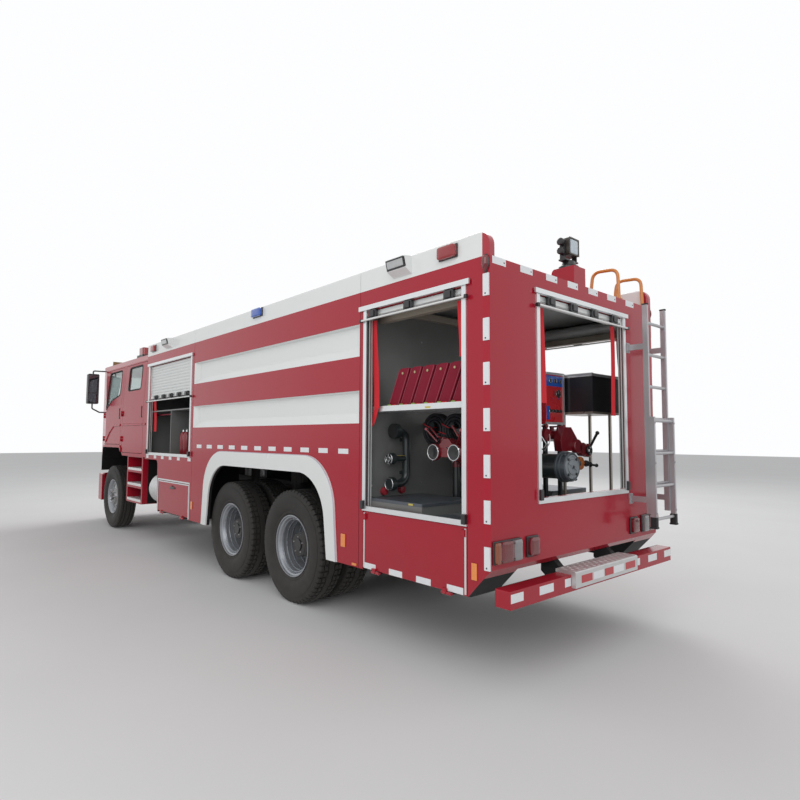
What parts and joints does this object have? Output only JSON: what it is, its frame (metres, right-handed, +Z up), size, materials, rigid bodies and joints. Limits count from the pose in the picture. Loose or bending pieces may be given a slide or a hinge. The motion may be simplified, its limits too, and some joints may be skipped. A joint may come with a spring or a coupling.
{
  "type": "fire truck",
  "caption": "Water-tank fire truck with a crew cab, side lockers behind roller shutters, an open pump bay at the tail, a ladder and dropping step flaps.",
  "frame": {"origin": "on the ground under the middle of the truck's overall box", "axes": "+X to the front along the truck, +Y to its left side, +Z up"},
  "size_m": [10.606, 2.82, 3.324],
  "materials": {
    "frame_black": "satin",
    "driveline_grey": "satin",
    "red_paint": "gloss",
    "white_paint": "gloss",
    "bay_grey": "satin",
    "aluminium": "satin",
    "pump_iron": "satin",
    "panel_plastic": "matte",
    "case_red": "satin",
    "hoop_orange": "gloss",
    "lens_red": "gloss",
    "lens_clear": "gloss",
    "lens_blue": "gloss",
    "window_glass": "gloss",
    "seat_fabric": "matte",
    "black_plastic": "matte",
    "tyre_rubber": "matte",
    "hose_rubber": "matte",
    "rim_silver": "gloss",
    "tank_silver": "satin"
  },
  "bodies": {
    "truck": {"chassis_frame": "frame_black", "drive_train": "driveline_grey", "axles_and_springs": "frame_black", "pump_bay": "red_paint", "tank_body": "red_paint", "arch_trims": "white_paint", "locker_body": "red_paint", "bay_linings": "bay_grey", "roof_coamings": "white_paint", "opening_trims": "aluminium", "roller_shutters": "aluminium", "pump_set": "pump_iron", "pump_manifold": "red_paint", "control_panel": "red_paint", "equipment_shelves": "aluminium", "hose_cases": "case_red", "hose_coils": "hose_rubber", "rear_bar": "red_paint", "rear_step": "aluminium", "ladder_upper": "aluminium", "grab_hoops": "hoop_orange", "red_lamps": "lens_red", "clear_lamps": "lens_clear", "blue_lamps": "lens_blue", "cab_shell": "red_paint", "cab_glass": "window_glass", "cab_interior": "seat_fabric", "front_bumper": "red_paint", "grille": "black_plastic", "black_trim": "black_plastic", "side_tanks": "tank_silver"},
    "ladder_slide_section": {"ladder_lower": "aluminium"},
    "searchlight_turning_yoke": {"searchlight_yoke": "black_plastic"},
    "searchlight_nodding_head": {"searchlight_head": "black_plastic"},
    "steering_knuckle_left": {"knuckle_left": "driveline_grey"},
    "wheel_front_left": {"rim_front_left": "rim_silver", "tyre_front_left": "tyre_rubber"},
    "wheel_mid_left": {"rim_mid_left": "rim_silver", "tyre_mid_left": "tyre_rubber"},
    "wheel_rear_left": {"rim_rear_left": "rim_silver", "tyre_rear_left": "tyre_rubber"},
    "cab_door_front_left": {"door_front_left": "red_paint", "door_glass_front_left": "window_glass"},
    "cab_door_rear_left": {"door_rear_left": "red_paint", "door_glass_rear_left": "window_glass"},
    "rear_step_flap_left": {"step_flap_left": "red_paint"},
    "low_skirt_door_left": {"skirt_door_left": "red_paint"},
    "steering_knuckle_right": {"knuckle_right": "driveline_grey"},
    "wheel_front_right": {"rim_front_right": "rim_silver", "tyre_front_right": "tyre_rubber"},
    "wheel_mid_right": {"rim_mid_right": "rim_silver", "tyre_mid_right": "tyre_rubber"},
    "wheel_rear_right": {"rim_rear_right": "rim_silver", "tyre_rear_right": "tyre_rubber"},
    "cab_door_front_right": {"door_front_right": "red_paint", "door_glass_front_right": "window_glass"},
    "cab_door_rear_right": {"door_rear_right": "red_paint", "door_glass_rear_right": "window_glass"},
    "rear_step_flap_right": {"step_flap_right": "red_paint"},
    "low_skirt_door_right": {"skirt_door_right": "red_paint"}
  },
  "joints": [
    {"name": "steer_left", "type": "hinge", "parent": "truck", "child": "steering_knuckle_left", "pos_m": [3.928, 0.77, 0.5625], "axis": [0, 0, 1], "range_deg": [-28, 28]},
    {"name": "spin_front_left", "type": "hinge", "parent": "steering_knuckle_left", "child": "wheel_front_left", "pos_m": [3.928, 0.98, 0.5625], "axis": [0, 1, 0], "continuous": true},
    {"name": "spin_mid_left", "type": "hinge", "parent": "truck", "child": "wheel_mid_left", "pos_m": [-1.043, 1.02, 0.5625], "axis": [0, 1, 0], "continuous": true},
    {"name": "spin_rear_left", "type": "hinge", "parent": "truck", "child": "wheel_rear_left", "pos_m": [-2.413, 1.02, 0.5625], "axis": [0, 1, 0], "continuous": true},
    {"name": "door_front_left_open", "type": "hinge", "parent": "truck", "child": "cab_door_front_left", "pos_m": [4.536, 1.14318, 1.7], "axis": [0, 0, -1], "range_deg": [0, 68]},
    {"name": "door_rear_left_open", "type": "hinge", "parent": "truck", "child": "cab_door_rear_left", "pos_m": [3.272, 1.187, 1.7], "axis": [0, 0, -1], "range_deg": [0, 75]},
    {"name": "step_flap_left_drop", "type": "hinge", "parent": "truck", "child": "rear_step_flap_left", "pos_m": [-4.273, 1.239, 0.562], "axis": [-1, 0, 0], "range_deg": [0, 90]},
    {"name": "skirt_door_left_drop", "type": "hinge", "parent": "truck", "child": "low_skirt_door_left", "pos_m": [0.63, 1.239, 0.562], "axis": [-1, 0, 0], "range_deg": [0, 88]},
    {"name": "steer_right", "type": "hinge", "parent": "truck", "child": "steering_knuckle_right", "pos_m": [3.928, -0.77, 0.5625], "axis": [0, 0, 1], "range_deg": [-28, 28]},
    {"name": "spin_front_right", "type": "hinge", "parent": "steering_knuckle_right", "child": "wheel_front_right", "pos_m": [3.928, -0.98, 0.5625], "axis": [0, 1, 0], "continuous": true},
    {"name": "spin_mid_right", "type": "hinge", "parent": "truck", "child": "wheel_mid_right", "pos_m": [-1.043, -1.02, 0.5625], "axis": [0, 1, 0], "continuous": true},
    {"name": "spin_rear_right", "type": "hinge", "parent": "truck", "child": "wheel_rear_right", "pos_m": [-2.413, -1.02, 0.5625], "axis": [0, 1, 0], "continuous": true},
    {"name": "door_front_right_open", "type": "hinge", "parent": "truck", "child": "cab_door_front_right", "pos_m": [4.536, -1.14318, 1.7], "axis": [0, 0, 1], "range_deg": [0, 68]},
    {"name": "door_rear_right_open", "type": "hinge", "parent": "truck", "child": "cab_door_rear_right", "pos_m": [3.272, -1.187, 1.7], "axis": [0, 0, 1], "range_deg": [0, 75]},
    {"name": "step_flap_right_drop", "type": "hinge", "parent": "truck", "child": "rear_step_flap_right", "pos_m": [-4.273, -1.239, 0.562], "axis": [1, 0, 0], "range_deg": [0, 90]},
    {"name": "skirt_door_right_drop", "type": "hinge", "parent": "truck", "child": "low_skirt_door_right", "pos_m": [0.63, -1.239, 0.562], "axis": [1, 0, 0], "range_deg": [0, 88]},
    {"name": "ladder_slide", "type": "slide", "parent": "truck", "child": "ladder_slide_section", "axis": [0, 0, -1], "range_m": [0, 0.8]},
    {"name": "searchlight_pan", "type": "hinge", "parent": "truck", "child": "searchlight_turning_yoke", "pos_m": [-4.955, 0.057, 3.1], "axis": [0, 0, 1], "range_deg": [-170, 170]},
    {"name": "searchlight_tilt", "type": "hinge", "parent": "searchlight_turning_yoke", "child": "searchlight_nodding_head", "pos_m": [-4.955, 0.057, 3.25], "axis": [0, 1, 0], "range_deg": [-30, 30]}
  ],
  "couplings": [
    {"joint": "steer_right", "follows": "steer_left", "ratio": 1}
  ]
}
